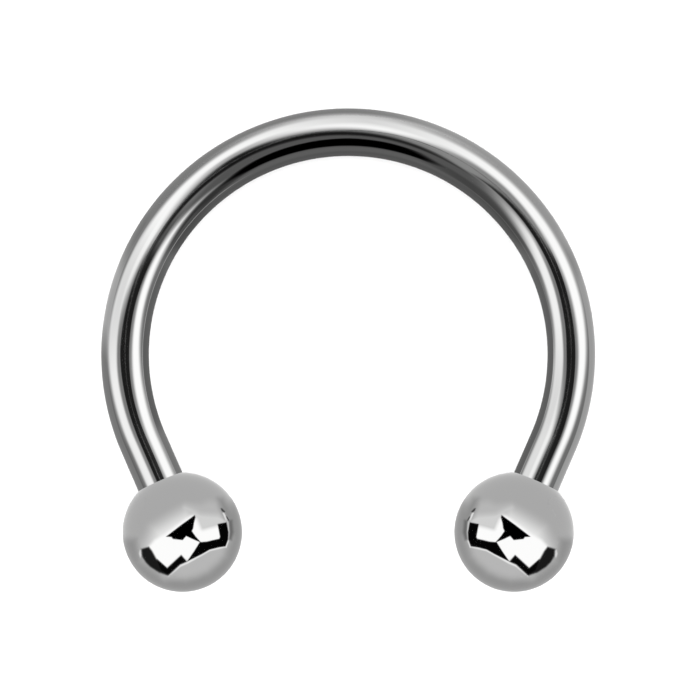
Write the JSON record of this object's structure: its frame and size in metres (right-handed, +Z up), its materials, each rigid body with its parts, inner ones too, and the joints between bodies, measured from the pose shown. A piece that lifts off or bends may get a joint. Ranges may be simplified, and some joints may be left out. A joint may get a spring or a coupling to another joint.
{
  "type": "horseshoe barbell",
  "caption": "Round bar bent into an open horseshoe curve, with a screw-on ball on each end that keeps it in a piercing.",
  "frame": {"origin": "on the surface that the part lies on, under the middle of its box", "axes": "+Z up from the surface, +Y towards the crown of the curve, +X across its opening to the right"},
  "size_m": [0.0124, 0.0122, 0.003],
  "materials": {
    "polished_steel": "mirror-polished 316L stainless steel with fine polishing marks"
  },
  "bodies": {
    "bar": {"curved_bar": "polished_steel"},
    "ball_left": {"ball_left": "polished_steel"},
    "ball_right": {"ball_right": "polished_steel"}
  },
  "joints": [
    {"name": "ball_left_unscrew", "type": "slide", "parent": "bar", "child": "ball_left", "axis": [0.3988, -0.9134, 0.0819], "range_m": [0, 0.0016]},
    {"name": "ball_right_unscrew", "type": "slide", "parent": "bar", "child": "ball_right", "axis": [-0.3988, -0.9134, 0.0819], "range_m": [0, 0.0016]}
  ]
}
